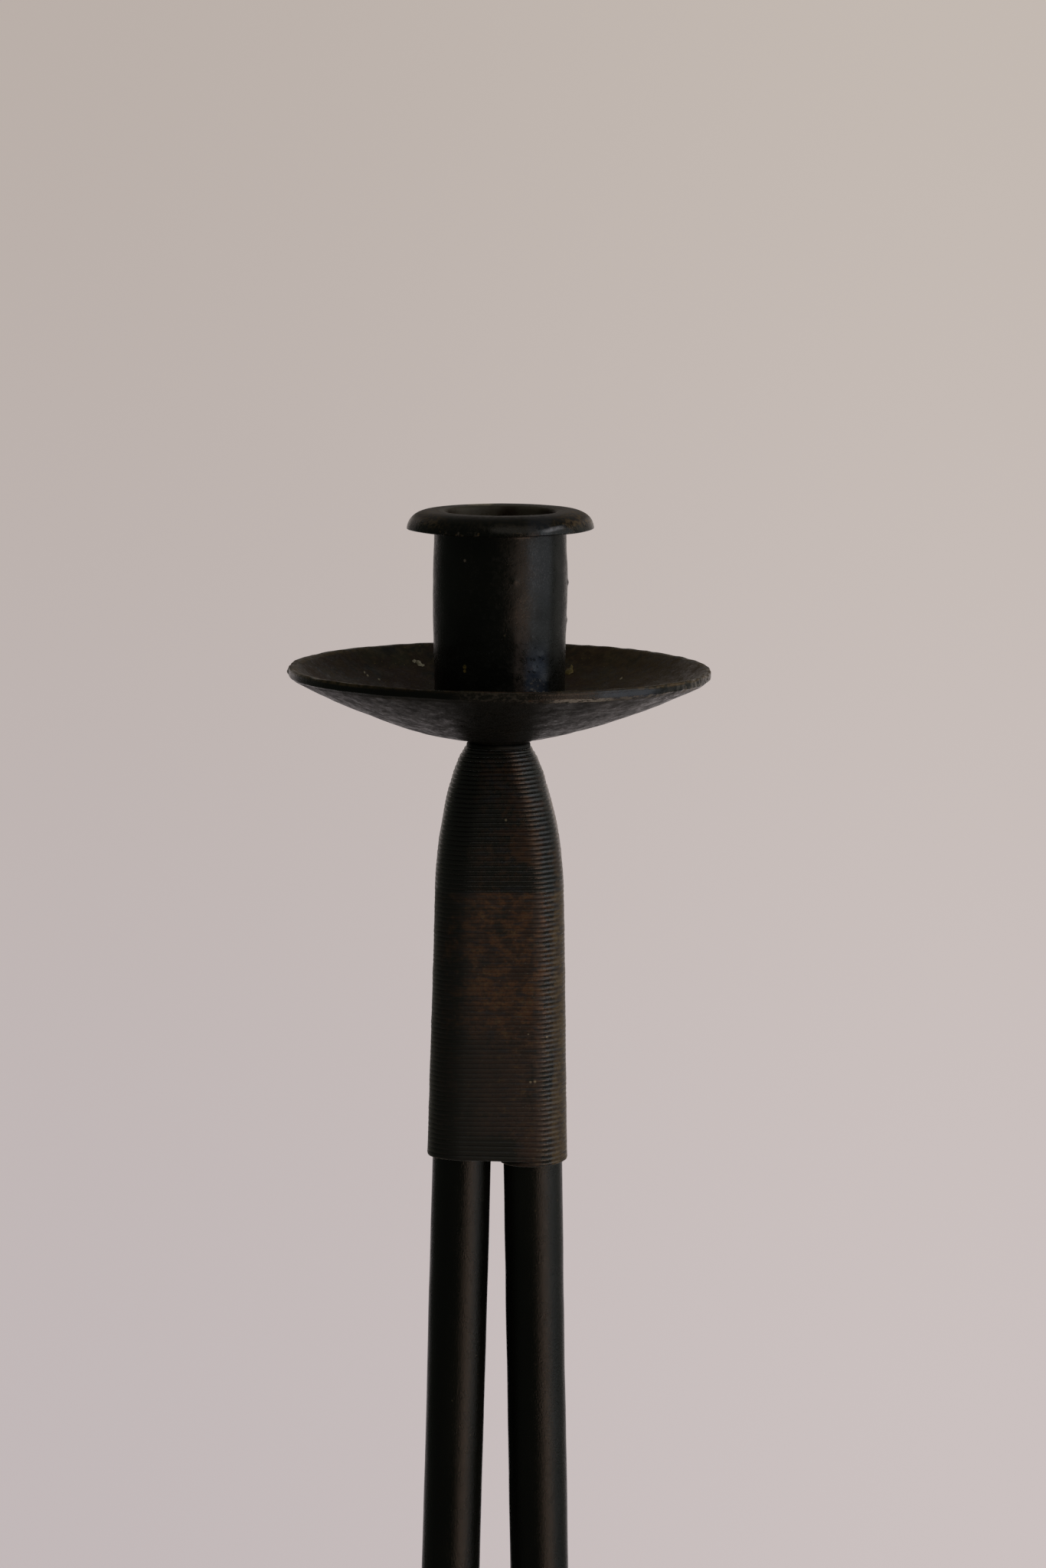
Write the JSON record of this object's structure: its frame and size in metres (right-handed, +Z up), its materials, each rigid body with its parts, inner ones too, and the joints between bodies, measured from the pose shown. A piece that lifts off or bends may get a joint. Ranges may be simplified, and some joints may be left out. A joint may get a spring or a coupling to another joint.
{
  "type": "floor candlestick",
  "caption": "Tall single-light candlestick: a pipe cup with a forged lip in a dished drip pan, on a bundle of round rods bound with wire that spread to curved feet.",
  "frame": {"origin": "on the floor, midway between the four feet, under the candle cup's axis", "axes": "+Z up along the candle cup's axis; -Y is the side that the picture shows, +X to the right there"},
  "size_m": [0.2516, 0.2516, 1.1],
  "materials": {
    "cup_iron": "near-black waxed iron with a blue-grey sheen",
    "braze": "lumpy, blackened, with bright flecks",
    "pan_iron": "hammered, dark brown-grey, rubbed bright at the rim",
    "rivet_iron": "hammered dark iron",
    "rusty_wire": "blackened wire with orange-brown rust on the turns",
    "rod_iron": "smooth near-black patinated iron"
  },
  "bodies": {
    "root": {"candle_cup": "cup_iron", "braze_bead": "braze", "drip_pan": "pan_iron", "pan_collar": "pan_iron", "rivet_stud": "rivet_iron", "binding_wire": "rusty_wire", "leg_front_left": "rod_iron", "leg_front_right": "rod_iron", "leg_rear_left": "rod_iron", "leg_rear_right": "rod_iron"}
  },
  "joints": []
}
